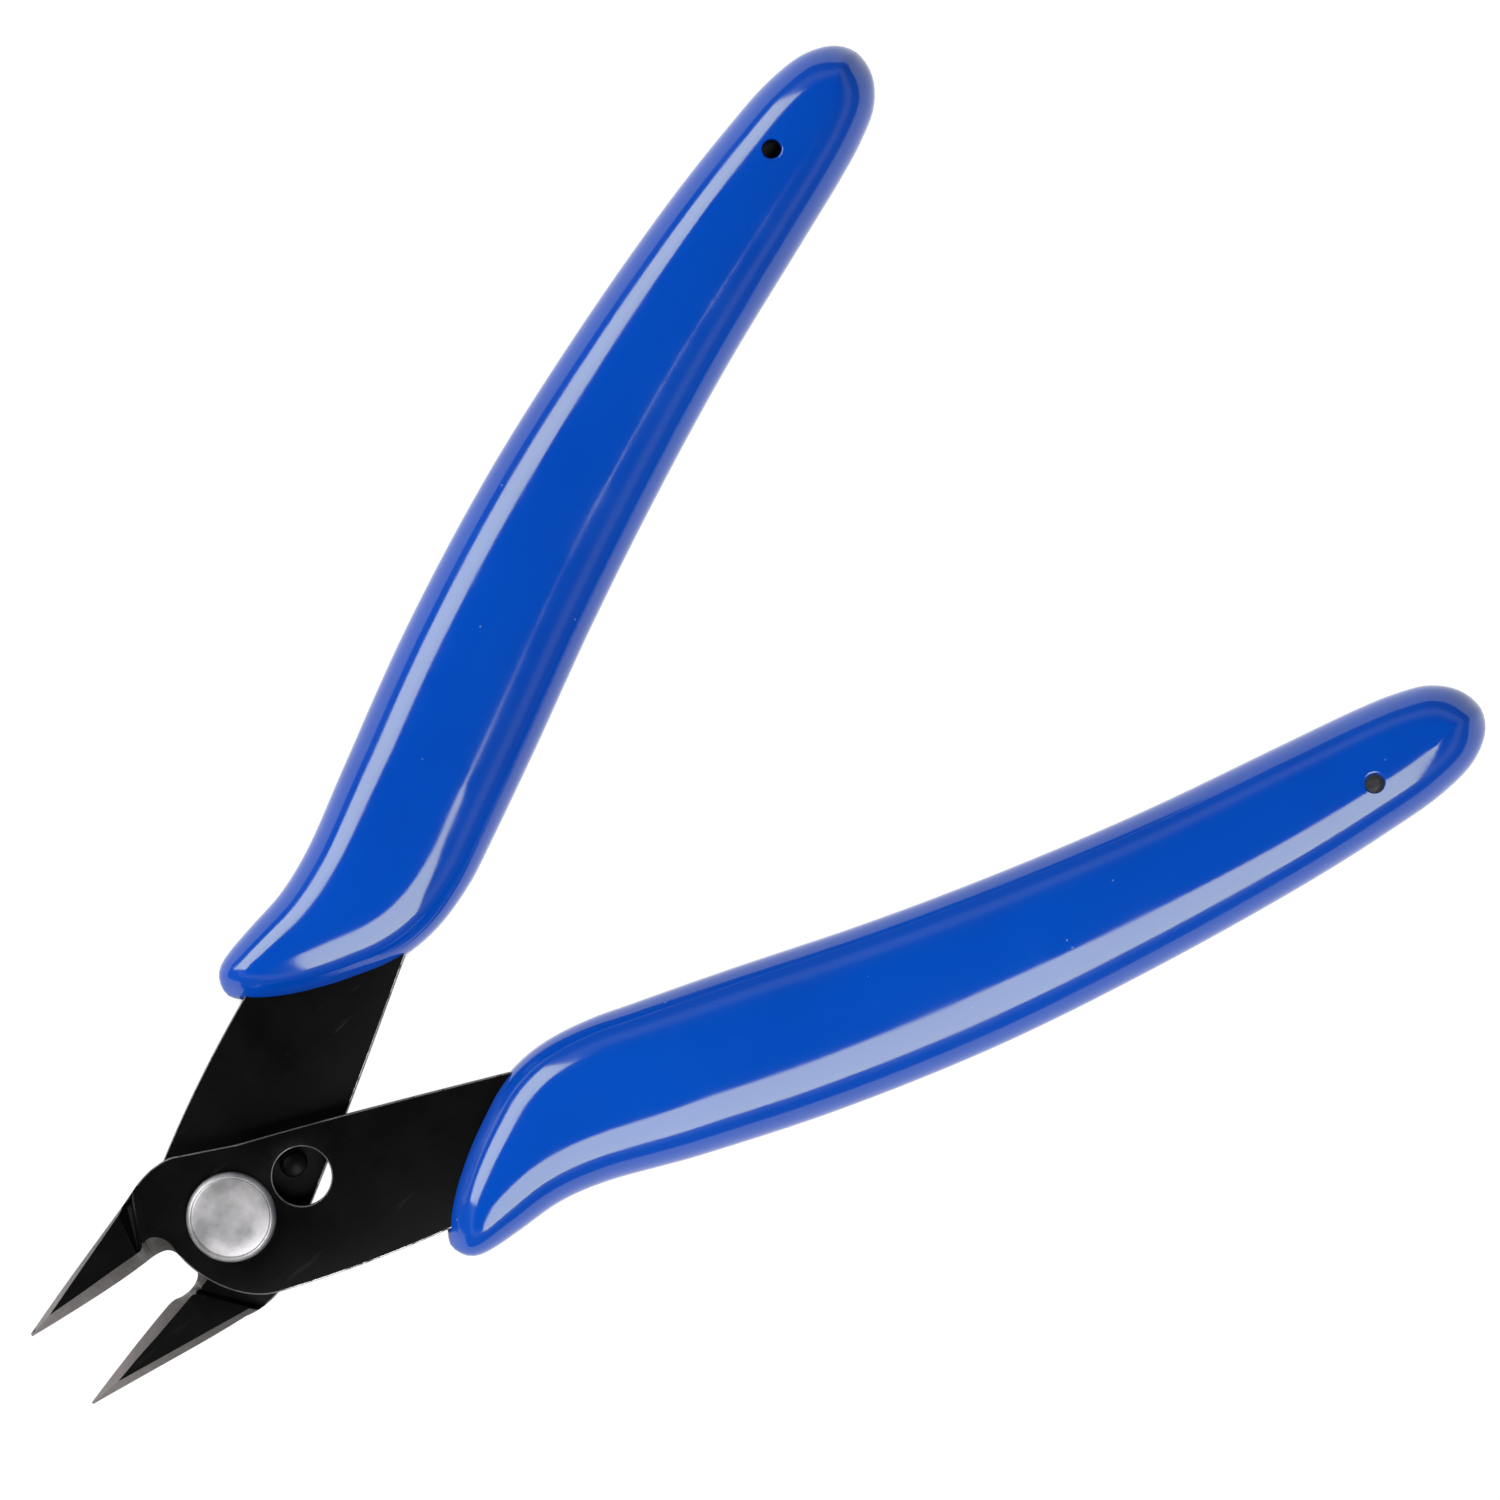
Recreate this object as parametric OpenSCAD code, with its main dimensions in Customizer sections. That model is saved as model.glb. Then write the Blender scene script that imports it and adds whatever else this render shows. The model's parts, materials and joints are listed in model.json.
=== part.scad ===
// Flush cutter: two plate levers riveted together, with moulded grips.
//
// The pivot axis is Z at X = Y = 0, +X runs along the tool's centre line towards the grips,
// and Z = 0 is the rear face of the rivet. The front lever's jaw is on the +Y side and its
// grip on the -Y side. Each lever is drawn in its closed pose, with its cutting edge on the
// X axis, and is then turned about the pivot by half of the opening angle.

/* [Pose] */
// Angle between the two cutting edges, 0 for closed
open_angle = 21.8; // [0:0.1:21.8]

/* [Pivot] */
// Diameter of the rivet's front head
head_d = 7.5; // [7:0.1:8.5]
// Height of the rivet's front head
head_h = 1.1; // [0.8:0.1:1.6]
// Width of the bevel round the rivet's heads
head_bevel = 0.45; // [0.2:0.05:0.6]
// Diameter of the rivet's shank
shank_d = 4.6; // [4:0.1:5]
// Diameter of the washer under the rear of the rivet
washer_d = 7.2; // [6.8:0.1:8]
// Height of the washer
washer_h = 1.0; // [0.8:0.1:1.2]
// Radial clearance of the shank in the lever that turns on it
running_gap = 0.03; // [0.02:0.01:0.06]

/* [Levers] */
// Thickness of each lever's plate
plate_t = 2.5; // [2:0.1:3]
// Length of the jaws from the pivot to the tip
jaw_len = 19.6; // [18:0.1:21]
// Slope of the ground bevel behind each cutting edge, from the flush faces
bevel_angle = 54; // [45:1:65]
// Depth of the flush faces behind the joint between the plates
flush_depth = 0.85; // [0.7:0.05:1]
// Gap left between the edges when the jaws are closed
edge_gap = 0.02; // [0.01:0.01:0.1]

/* [Travel stop] */
// Diameter of the stop pin in the rear lever
stop_d = 2.3; // [2:0.1:2.6]
// Height of the stop pin's end above the joint between the plates
stop_h = 2.1; // [1.6:0.1:2.4]
// Radius of the stop pin's domed end
stop_dome_r = 1.9; // [1.5:0.1:2.5]
// Radius of the stop pin's path about the pivot
stop_orbit = 6.8; // [6.6:0.1:7.2]
// Clearance left between the pin and its hole at each end of the travel
stop_gap = 0.03; // [0.02:0.01:0.1]

/* [Return spring] */
// Diameter of the spring's wire
wire_d = 0.7; // [0.6:0.05:0.8]
// Radius of the spring's bow round the washer, to the wire's centre
bow_r = 4.3; // [4.2:0.1:4.5]
// Depth of the spring's hooked ends in the levers
hook_depth = 1.2; // [0.8:0.1:1.6]

/* [Grips] */
// Thickness of the grips at their middle
grip_t = 9.5; // [8.5:0.1:10.5]
// Diameter of the hanging hole through each grip
hang_d = 1.6; // [1.2:0.1:2]

/* [Hidden] */
$fn = 96;

travel = 21.8;
half_open = open_angle / 2;

// Size of a solid that cuts away everything on one side, and how far a cut runs past the metal
big = 60;
past = 1;

// Heights of the faces between the layers
joint_z = washer_h + plate_t;
front_top_z = joint_z + plate_t;
flush_z = joint_z - flush_depth;

// Each jaw's bend runs across the lever at this angle to the Y axis
bend_turn = -22;

// Side profile of each lever as [distance from the pivot across the bend, height above the joint]
back = 120;
front_profile = [[back, 0], [back, plate_t], [-7.7, plate_t], [-8.15, 1], [-22, -0.2], [-22, -flush_depth],
                 [-8.1, -flush_depth], [-7.4, 0]];
rear_profile = [[back, -plate_t], [back, 0], [-6.6, 0], [-7.1, 0.58], [-22, -0.2], [-22, -flush_depth],
                [-9.5, -flush_depth], [-6.6, -plate_t]];

// The ground bevel ends at this distance in front of the pivot
bevel_end = 6.9;

// Direction and slope of the ground facet along each jaw's outer edge
facet_turn = 24;
facet_slope = 60;

// Travel stop: the hole is in the front lever, half of the travel behind the pin's open place
stop_hole_angle = -1.1;
stop_pin_angle = stop_hole_angle - travel / 2;
stop_swing = 2 * stop_orbit * sin(travel / 4);
stop_hole_r = stop_d / 2 + stop_swing + stop_gap;

// Return spring: a bow round the washer and two legs, whose ends are hooked into blind holes
wire_z = washer_h / 2;
hook_pos = [9, -5.6];
hook_room = 0.2;
hook_r = norm(hook_pos);
hook_angle = atan2(hook_pos[1], hook_pos[0]) - half_open;
leg_start_angle = hook_angle - acos(bow_r / hook_r);
leg_len = sqrt(hook_r * hook_r - bow_r * bow_r);
hook_hole_d = wire_d + 0.1;

// The legs are a little thinner than the bow, and start a little inside its ends
leg_d = wire_d - 0.02;
leg_lap = 0.05;

// Grips: how much further out each sleeve's end sits, and how far it leans off its tang
front_seat = [1.2, -0.22];
rear_seat = [-0.9, 0.22];
grip_rings = 30;
grip_sides = 24;
grip_end_rings = 8;
grip_end_len = 6.4;
grip_end_flat = 0.06;
hang_pos = [99, -18];
front_grip_z = joint_z + plate_t / 2;
rear_grip_z = joint_z - plate_t / 2;

// Points of a cubic curve, from its first point up to just before its last
function curve_at(p, t) = pow(1 - t, 3) * p[0] + 3 * pow(1 - t, 2) * t * p[1]
    + 3 * (1 - t) * t * t * p[2] + t * t * t * p[3];
function curve(p, n) = [for (i = [0:n - 1]) curve_at(p, i / n)];

// A smooth curve through all points of a list, at u from 0 to 1
function spline_at(p, u) =
    let (last = len(p) - 1, k = min(floor(u * last), last - 1), t = u * last - k,
         a = p[max(k - 1, 0)], b = p[k], c = p[k + 1], d = p[min(k + 2, last)])
    0.5 * (2 * b + (c - a) * t + (2 * a - 5 * b + 4 * c - d) * t * t + (3 * b - a - 3 * c + d) * t * t * t);

// Rises smoothly from 0 at start to 1 at end
function ease(x, start, end) =
    let (t = min(max((x - start) / (end - start), 0), 1))
    t * t * (3 - 2 * t);

// Outline of a lever: cutting edge, throat, hub, waist, tang, neck, shoulder and the jaw's outer edge
jaw_tip = [-jaw_len, edge_gap / 2];
edge_end = [-9.2, edge_gap / 2];
throat = [edge_end, [-8.3, 0.95], [-5.9, 1.3], [-5.35, -0.6]];
hub_front = [[-5.35, -0.6], [-4.9, -3.4], [-2.6, -6.8], [0.35, -7.45]];
waist = [[0.35, -7.45], [4.9, -8.65], [9.4, -9.5], [14, -10.1]];
tang_lower = [[14, -10.1], [36, -12.8], [60, -19.6], [92, -19.3]];
tang_upper = [[92, -14.3], [74, -12.8], [50, -7.6], [30, -2.85]];
neck = [[30, -2.85], [22, -0.4], [12, 2.7], [3.4, 4.95]];
shoulder = [[-1.5, 6.75], [-2.6, 7.1], [-4.4, 6.9], [-6, 6.05]];
jaw_outer = [[-6, 6.05], [-10, 4.4], [-14.5, 2.5], [-jaw_len, 0.22]];

function tang_end(n) =
    let (low = tang_lower[3], high = tang_upper[0], mid = (low + high) / 2, r = (high - low)[1] / 2)
    [for (i = [0:n - 1]) mid + r * [cos(i * 180 / n - 90), sin(i * 180 / n - 90)]];

lever_outline = concat([jaw_tip], curve(throat, 10), curve(hub_front, 12), curve(waist, 8),
                       curve(tang_lower, 12), tang_end(12), curve(tang_upper, 12), curve(neck, 8), [neck[3]],
                       curve(shoulder, 8), curve(jaw_outer, 6), [jaw_outer[3]]);

// Grip edges, from the slanted mouth to the rounded end
grip_inner = [[25.6, -2], [30, -0.9], [37, -1.65], [46, -3.5], [58, -6.15], [70, -8.35], [82, -10.1],
              [94, -11.3], [103.5, -12.35]];
grip_outer = [[14.4, -12.1], [17, -13.45], [24, -13.1], [36, -15.6], [48, -18.35], [62, -20.6], [76, -21.8],
              [90, -22.3], [103.5, -21.75]];

// A point of a grip where that sleeve really sits on its tang
function seated(p, seat) = p + [seat[0] * ease(p[0], 60, 105), seat[1] * ease(p[0], 24, 38)];

// Half of the grip's thickness along its length: a share of the full one at the mouth, and a slight taper
mouth_share = 0.74;
full_at = 0.3;
taper_from = 0.4;
taper = 0.1;
function grip_half_t(u) = grip_t / 2 * (mouth_share + (1 - mouth_share) * sin(90 * min(1, u / full_at)))
    * (1 - taper * max(0, u - taper_from));

// One ring of the grip between its two edges: an oval whose sides and top are flattened by these powers
side_power = 0.8;
top_power = 0.75;
function grip_ring(inner, outer, half_t) =
    let (mid = (inner + outer) / 2, half = (inner - outer) / 2)
    [for (i = [0:grip_sides - 1])
        let (a = i * 360 / grip_sides, cx = cos(a), cy = sin(a),
             w = sign(cx) * pow(abs(cx), side_power), h = sign(cy) * pow(abs(cy), top_power))
        [mid[0] + half[0] * w, mid[1] + half[1] * w, half_t * h]];

// The rounded end closes in from the last ring over these extra rings
function grip_end_ring(j, seat) =
    let (a = j * 90 / grip_end_rings, last = len(grip_inner) - 1,
         inner = seated(grip_inner[last], seat), outer = seated(grip_outer[last], seat),
         mid = (inner + outer) / 2 + [grip_end_len * sin(a), 0], k = max(cos(a), grip_end_flat))
    grip_ring(mid + (inner - outer) / 2 * k, mid - (inner - outer) / 2 * k, grip_half_t(1) * k);

function grip_points(seat) = concat(
    [for (j = [0:grip_rings], p = grip_ring(seated(spline_at(grip_inner, j / grip_rings), seat),
                                            seated(spline_at(grip_outer, j / grip_rings), seat),
                                            grip_half_t(j / grip_rings))) p],
    [for (j = [1:grip_end_rings], p = grip_end_ring(j, seat)) p]);

function ring_faces(j) = [for (i = [0:grip_sides - 1])
    let (a = j * grip_sides + i, b = j * grip_sides + (i + 1) % grip_sides,
         c = a + grip_sides, d = b + grip_sides)
    each [[a, b, d], [a, d, c]]];

grip_faces = concat(
    [[for (i = [grip_sides - 1:-1:0]) i]],
    [for (j = [0:grip_rings + grip_end_rings - 1]) each ring_faces(j)],
    [[for (i = [0:grip_sides - 1]) (grip_rings + grip_end_rings) * grip_sides + i]]);

// Turns a lever drawn closed to its place at the opening angle
module front_pose() {
    rotate([0, 0, -half_open]) children();
}

// The rear lever is the front one's mirror image across the tool's centre line
module rear_pose() {
    rotate([0, 0, half_open]) mirror([0, 1, 0]) children();
}

// The plate and jaw of one lever: its outline seen from above, cut to its profile seen from the side
module lever_blank(profile) {
    intersection() {
        translate([0, 0, joint_z - big / 2]) linear_extrude(big) polygon(lever_outline);
        translate([0, 0, joint_z]) rotate([0, 0, bend_turn]) rotate([90, 0, 0])
            translate([0, 0, -big]) linear_extrude(2 * big) polygon(profile);
    }
}

// Cuts away the metal above the ground bevel beside the cutting edge
module edge_bevel() {
    translate([-jaw_len - past, edge_gap / 2, flush_z]) rotate([bevel_angle, 0, 0])
        translate([0, -big / 2, 0]) cube([jaw_len + past - bevel_end, big, big / 2]);
}

// Cuts the narrow ground facet along the jaw's outer edge, down from a height above the joint
module outer_facet(width, top) {
    translate([jaw_outer[0][0], jaw_outer[0][1], joint_z + top]) rotate([0, 0, facet_turn])
        translate([-big, -width, 0]) rotate([-facet_slope, 0, 0]) cube([big, big / 2, big / 2]);
}

// Round hole through a lever, at a distance from the pivot
module bore(d, x = 0) {
    translate([x, 0, -past]) cylinder(d = d, h = front_top_z + 2 * past);
}

// Blind hole for a hooked end of the spring, from the plate's rear face at height z
module hook_hole(z) {
    translate([hook_pos[0], hook_pos[1], z - past])
        cylinder(d = hook_hole_d, h = past + hook_depth + hook_room);
}

module front_lever() {
    color("#26262a") front_pose() difference() {
        lever_blank(front_profile);
        edge_bevel();
        outer_facet(0.15, 0.95);
        bore(shank_d);
        rotate([0, 0, stop_hole_angle]) bore(2 * stop_hole_r, stop_orbit);
        hook_hole(joint_z);
    }
}

module rear_lever() {
    color("#26262a") rear_pose() difference() {
        lever_blank(rear_profile);
        edge_bevel();
        outer_facet(0.4, 0.5);
        bore(shank_d + 2 * running_gap);
        rotate([0, 0, -stop_pin_angle]) bore(stop_d, stop_orbit);
        hook_hole(washer_h);
    }
}

// Front head with a bevelled rim, and the shank through both plates and the washer
module pivot_rivet() {
    color("#c9c6c6") rotate_extrude() polygon([[0, 0], [shank_d / 2, 0], [shank_d / 2, front_top_z],
        [head_d / 2, front_top_z], [head_d / 2, front_top_z + head_h - head_bevel],
        [head_d / 2 - head_bevel, front_top_z + head_h], [0, front_top_z + head_h]]);
}

module rivet_washer() {
    color("#b5b3b3") rotate_extrude() polygon([[shank_d / 2, 0], [washer_d / 2 - head_bevel, 0],
        [washer_d / 2, head_bevel], [washer_d / 2, washer_h], [shank_d / 2, washer_h]]);
}

// Pin pressed into the rear lever, with a domed end inside the front lever's hole
module stop_pin() {
    dome_z = joint_z + stop_h - stop_dome_r;
    color("#202024") rear_pose() rotate([0, 0, -stop_pin_angle]) translate([stop_orbit, 0, 0])
        intersection() {
            translate([0, 0, joint_z - plate_t]) cylinder(d = stop_d, h = plate_t + stop_h);
            union() {
                translate([0, 0, dome_z]) sphere(r = stop_dome_r);
                cylinder(r = stop_dome_r, h = dome_z);
            }
        }
}

// One leg of the spring from inside the bow's end to its hooked end, which reaches up to height z
module spring_leg(side, z) {
    rotate([0, 0, side * leg_start_angle]) translate([bow_r, 0, wire_z]) rotate([-90 * side, 0, 0])
        translate([0, 0, -leg_lap]) cylinder(d = leg_d, h = leg_len);
    rotate([0, 0, side * hook_angle]) translate([hook_r, 0, wire_z - wire_d / 2])
        cylinder(d = wire_d, h = z - wire_z + wire_d / 2);
}

module return_spring() {
    color("#b9bcc2") {
        spring_leg(1, joint_z + hook_depth);
        spring_leg(-1, washer_h + hook_depth);
        rotate([0, 0, -leg_start_angle]) translate([0, 0, wire_z])
            rotate_extrude(angle = 360 + 2 * leg_start_angle) translate([bow_r, 0]) circle(d = wire_d);
    }
}

// The space that a lever's tang fills inside its grip
module tang_space() {
    linear_extrude(plate_t, center = true) polygon(lever_outline);
}

module grip_blank(seat) {
    hang = seated(hang_pos, seat);
    difference() {
        polyhedron(grip_points(seat), grip_faces, convexity = 6);
        tang_space();
        translate([hang[0], hang[1], -big / 2]) cylinder(d = hang_d, h = big);
    }
}

module front_grip() {
    color("#1257c4") front_pose() translate([0, 0, front_grip_z]) grip_blank(front_seat);
}

module rear_grip() {
    color("#1257c4") rear_pose() translate([0, 0, rear_grip_z]) grip_blank(rear_seat);
}

front_lever();
rear_lever();
pivot_rivet();
rivet_washer();
stop_pin();
return_spring();
front_grip();
rear_grip();
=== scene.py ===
"""The looks of a flush cutter: two riveted plate levers with ground jaws and moulded grips."""

import json
import math

import bmesh
import bpy
import numpy as np
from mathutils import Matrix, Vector, geometry


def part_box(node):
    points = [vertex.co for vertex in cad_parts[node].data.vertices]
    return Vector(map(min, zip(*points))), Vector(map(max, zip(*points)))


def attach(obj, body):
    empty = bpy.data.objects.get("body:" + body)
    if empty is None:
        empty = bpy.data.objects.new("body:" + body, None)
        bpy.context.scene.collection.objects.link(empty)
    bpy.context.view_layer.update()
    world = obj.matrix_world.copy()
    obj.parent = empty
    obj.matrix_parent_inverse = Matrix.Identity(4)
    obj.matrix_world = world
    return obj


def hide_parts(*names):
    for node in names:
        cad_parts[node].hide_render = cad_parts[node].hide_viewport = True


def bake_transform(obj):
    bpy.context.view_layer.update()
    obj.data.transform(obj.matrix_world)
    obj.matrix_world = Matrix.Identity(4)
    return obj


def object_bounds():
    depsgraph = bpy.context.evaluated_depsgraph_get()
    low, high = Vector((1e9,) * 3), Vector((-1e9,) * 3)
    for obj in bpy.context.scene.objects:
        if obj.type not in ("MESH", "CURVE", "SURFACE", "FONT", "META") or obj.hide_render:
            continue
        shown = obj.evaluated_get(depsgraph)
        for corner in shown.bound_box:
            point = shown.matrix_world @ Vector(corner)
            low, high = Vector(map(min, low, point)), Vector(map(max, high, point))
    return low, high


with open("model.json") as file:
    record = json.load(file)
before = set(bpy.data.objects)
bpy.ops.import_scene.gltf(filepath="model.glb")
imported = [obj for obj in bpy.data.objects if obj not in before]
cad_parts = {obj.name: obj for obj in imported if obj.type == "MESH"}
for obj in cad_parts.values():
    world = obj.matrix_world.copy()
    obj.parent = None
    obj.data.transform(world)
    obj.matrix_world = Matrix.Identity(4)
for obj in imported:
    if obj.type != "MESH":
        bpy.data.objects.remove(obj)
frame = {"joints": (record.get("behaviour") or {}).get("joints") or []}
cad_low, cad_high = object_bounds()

MM = 0.001

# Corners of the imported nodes' boxes in mm, a plate's thickness, the height of the joint between the plates,
# and half of the angle by which the levers are open at rest
HEAD_LOW, HEAD_HIGH = (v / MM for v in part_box("pivot_rivet"))
WASHER_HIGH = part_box("rivet_washer")[1] / MM
FRONT_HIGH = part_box("front_lever")[1] / MM
PIN_LOW, PIN_HIGH = (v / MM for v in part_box("stop_pin"))
SPRING_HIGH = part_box("return_spring")[1] / MM
GRIP_LOW, GRIP_HIGH = (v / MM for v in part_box("front_grip"))
REAR_GRIP_LOW, REAR_GRIP_HIGH = (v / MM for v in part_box("rear_grip"))
PLATE = (FRONT_HIGH.z - WASHER_HIGH.z) / 2
JOINT_Z = WASHER_HIGH.z + PLATE
HALF_OPEN = math.radians(frame["joints"][0]["range_deg"][1]) / 2

# Shape of a lever drawn closed, in mm, round the pivot: X runs from the jaw to the grip, the jaw is at +Y
JAW_LEN = 19.6
FLUSH = -0.85
LAND = 0.03
BEND_TURN = math.radians(-22)
BEND = (math.cos(BEND_TURN), math.sin(BEND_TURN))
SHANK_R = 2.3
BORE_CLEARANCE = 0.03
STOP_ORBIT = 6.8
STOP_HOLE_R = 2.472
STOP_HOLE_ANGLE = math.radians(-1.1)
HOOK_POS = (9, -5.6)
WIRE_R = 0.35
BOW_R = 4.3

HUB_FRONT = [(-5.35, -0.6), (-4.9, -3.4), (-2.6, -6.8), (0.35, -7.45)]
WAIST = [(0.35, -7.45), (4.9, -8.65), (9.4, -9.5), (14, -10.1)]
TANG_LOWER = [(14, -10.1), (36, -12.8), (60, -19.6), (92, -19.3)]
TANG_UPPER = [(92, -14.3), (74, -12.8), (50, -7.6), (30, -2.85)]
NECK = [(30, -2.85), (22, -0.4), (12, 2.7), (3.4, 4.97)]
SHOULDER = [(-1.5, 6.75), (-2.6, 7.1), (-4.4, 6.9), (-6, 6.05)]


def cubic(p, n):
    """n points of a cubic curve, from its first point up to just before its last."""
    p = np.array(p, float)
    t = np.arange(n)[:, None] / n
    return (1 - t) ** 3 * p[0] + 3 * (1 - t) ** 2 * t * p[1] + 3 * (1 - t) * t * t * p[2] + t ** 3 * p[3]


def smooth_path(p, step, before=None, after=None):
    """Points about step apart on a smooth curve through p, with both its ends.

    The curve would go on to before and after.
    """
    p = np.array(p, float)
    before = 2 * p[0] - p[1] if before is None else before
    after = 2 * p[-1] - p[-2] if after is None else after
    ends = np.vstack([before, p, after])
    gaps = np.sqrt(np.linalg.norm(np.diff(ends, axis=0), axis=1))
    out = []
    for i in range(len(p) - 1):
        a, b, c, d = ends[i:i + 4]
        ga, gb, gc = gaps[i:i + 3]
        mb = ((b - a) / ga - (c - a) / (ga + gb) + (c - b) / gb) * gb
        mc = ((c - b) / gb - (d - b) / (gb + gc) + (d - c) / gc) * gb
        n = max(2, round(np.linalg.norm(c - b) / step))
        t = np.arange(n)[:, None] / n
        out.append((2 * t ** 3 - 3 * t * t + 1) * b + (t ** 3 - 2 * t * t + t) * mb
                   + (3 * t * t - 2 * t ** 3) * c + (t ** 3 - t * t) * mc)
    return np.vstack(out + [p[-1:]])


def even(p, n):
    """n + 1 points evenly spaced along a path."""
    length = np.concatenate([[0], np.cumsum(np.linalg.norm(np.diff(p, axis=0), axis=1))])
    at = np.linspace(0, length[-1], n + 1)
    return np.column_stack([np.interp(at, length, p[:, k]) for k in range(p.shape[1])])


def circle(x, y, r, n):
    """n points round a circle."""
    a = np.arange(n) * 2 * math.pi / n
    return np.column_stack([x + r * np.cos(a), y + r * np.sin(a)])


def inside(points, loop):
    """Which points are inside a closed loop."""
    x, y = points[:, 0][:, None], points[:, 1][:, None]
    x0, y0 = loop[:, 0], loop[:, 1]
    x1, y1 = np.roll(x0, -1), np.roll(y0, -1)
    across = (y0 > y) != (y1 > y)
    with np.errstate(divide="ignore", invalid="ignore"):
        hit = x < (x1 - x0) * (y - y0) / (y1 - y0) + x0
    return np.sum(across & hit, axis=1) % 2 == 1


def place(points, front):
    """Points of a lever drawn closed, in mm, to the row frame at rest, in metres."""
    p = np.array(points, float) * MM
    if not front:
        p[:, 1] *= -1
    turn = -HALF_OPEN if front else HALF_OPEN
    c, s = math.cos(turn), math.sin(turn)
    return np.column_stack([p[:, 0] * c - p[:, 1] * s, p[:, 0] * s + p[:, 1] * c, p[:, 2]])


def mesh_piece(name, verts, faces, materials):
    """A smoothly shaded object in the scene, with its faces turned outwards."""
    mesh = bpy.data.meshes.new(name)
    mesh.from_pydata([tuple(map(float, v)) for v in verts], [], [tuple(map(int, f)) for f in faces])
    mesh.validate()
    bm = bmesh.new()
    bm.from_mesh(mesh)
    bmesh.ops.recalc_face_normals(bm, faces=bm.faces)
    bm.to_mesh(mesh)
    bm.free()
    for m in materials:
        mesh.materials.append(m)
    for f in mesh.polygons:
        f.use_smooth = True
    piece = bpy.data.objects.new(name, mesh)
    bpy.context.scene.collection.objects.link(piece)
    return piece


def lathe(profile, n):
    """Vertices and faces of a closed profile turned about Z. Points on the axis are shared."""
    verts, rings = [], []
    for r, z in profile:
        if r < 1e-6:
            rings.append([len(verts)] * n)
            verts.append((0, 0, z))
        else:
            rings.append(list(range(len(verts), len(verts) + n)))
            turns = [i * 2 * math.pi / n for i in range(n)]
            verts += [(r * math.cos(a), r * math.sin(a), z) for a in turns]
    faces = []
    for a, b in zip(rings, rings[1:]):
        for i in range(n):
            j = (i + 1) % n
            face = list(dict.fromkeys([a[i], a[j], b[j], b[i]]))
            if len(face) > 2:
                faces.append(face)
    return np.array(verts, float), faces


def arc(x, y, r, start, end, n):
    """Points of an arc, with its angles in degrees."""
    return [(x + r * math.cos(math.radians(start + (end - start) * i / n)),
             y + r * math.sin(math.radians(start + (end - start) * i / n))) for i in range(n + 1)]


# ---------------------------------------------------------------- materials

def nodes_of(name, **values):
    """A new material with its shader's own values set."""
    material = bpy.data.materials.new(name)
    material.use_nodes = True
    tree = material.node_tree
    shader = tree.nodes["Principled BSDF"]
    for key, value in values.items():
        shader.inputs[key.replace("_", " ")].default_value = value
    return material, tree, shader


def add(tree, kind, links=None, **values):
    """A node with its settings, and its inputs linked or set."""
    node = tree.nodes.new(kind)
    for key, value in values.items():
        setattr(node, key, value)
    for key, value in (links or {}).items():
        if isinstance(value, bpy.types.NodeSocket):
            tree.links.new(value, node.inputs[key])
        else:
            node.inputs[key].default_value = value
    return node


def noise(tree, at, scale, detail=3.0, rough=0.5, stretch=None, turn=0.0):
    """Noise at a place, which can be stretched and turned about Z."""
    if stretch or turn:
        links = {"Vector": at, "Scale": stretch or (1, 1, 1), "Rotation": (0, 0, turn)}
        at = add(tree, "ShaderNodeMapping", links).outputs[0]
    links = {"Vector": at, "Scale": scale, "Detail": detail, "Roughness": rough}
    return add(tree, "ShaderNodeTexNoise", links).outputs["Fac"]


def ramp(tree, fac, *stops):
    """A ramp through stops, each a position with a grey or a colour."""
    node = add(tree, "ShaderNodeValToRGB", {"Fac": fac})
    line = node.color_ramp.elements
    while len(line) < len(stops):
        line.new(0.5)
    for element, (position, colour) in zip(line, stops):
        element.position = position
        element.color = (*colour, 1) if isinstance(colour, tuple) else (colour, colour, colour, 1)
    return node.outputs[0]


def mix(tree, fac, a, b):
    """A colour between a and b."""
    node = add(tree, "ShaderNodeMix", data_type="RGBA")
    for socket, value in ((0, fac), (6, a), (7, b)):
        if isinstance(value, bpy.types.NodeSocket):
            tree.links.new(value, node.inputs[socket])
        else:
            node.inputs[socket].default_value = (*value, 1) if isinstance(value, tuple) else value
    return node.outputs[2]


def maths(tree, operation, a, b=0.0, c=0.0):
    return add(tree, "ShaderNodeMath", {0: a, 1: b, 2: c}, operation=operation).outputs[0]


def bump(tree, shader, height, strength, distance):
    node = add(tree, "ShaderNodeBump", {"Height": height, "Strength": strength, "Distance": distance})
    tree.links.new(node.outputs[0], shader.inputs["Normal"])


def object_place(tree):
    """Where a point is in the object's own space, in metres."""
    return add(tree, "ShaderNodeTexCoord").outputs["Object"]


def dots(tree, at, scale, size):
    """1 inside the small dots of a few cells of a pattern, 0 outside."""
    cells = add(tree, "ShaderNodeTexVoronoi", {"Vector": at, "Scale": scale})
    near = maths(tree, "LESS_THAN", cells.outputs["Distance"], size)
    pick = add(tree, "ShaderNodeSeparateColor", {0: cells.outputs["Color"]}).outputs[0]
    empty_share = 0.82
    return maths(tree, "MULTIPLY", near, maths(tree, "GREATER_THAN", pick, empty_share))


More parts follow.
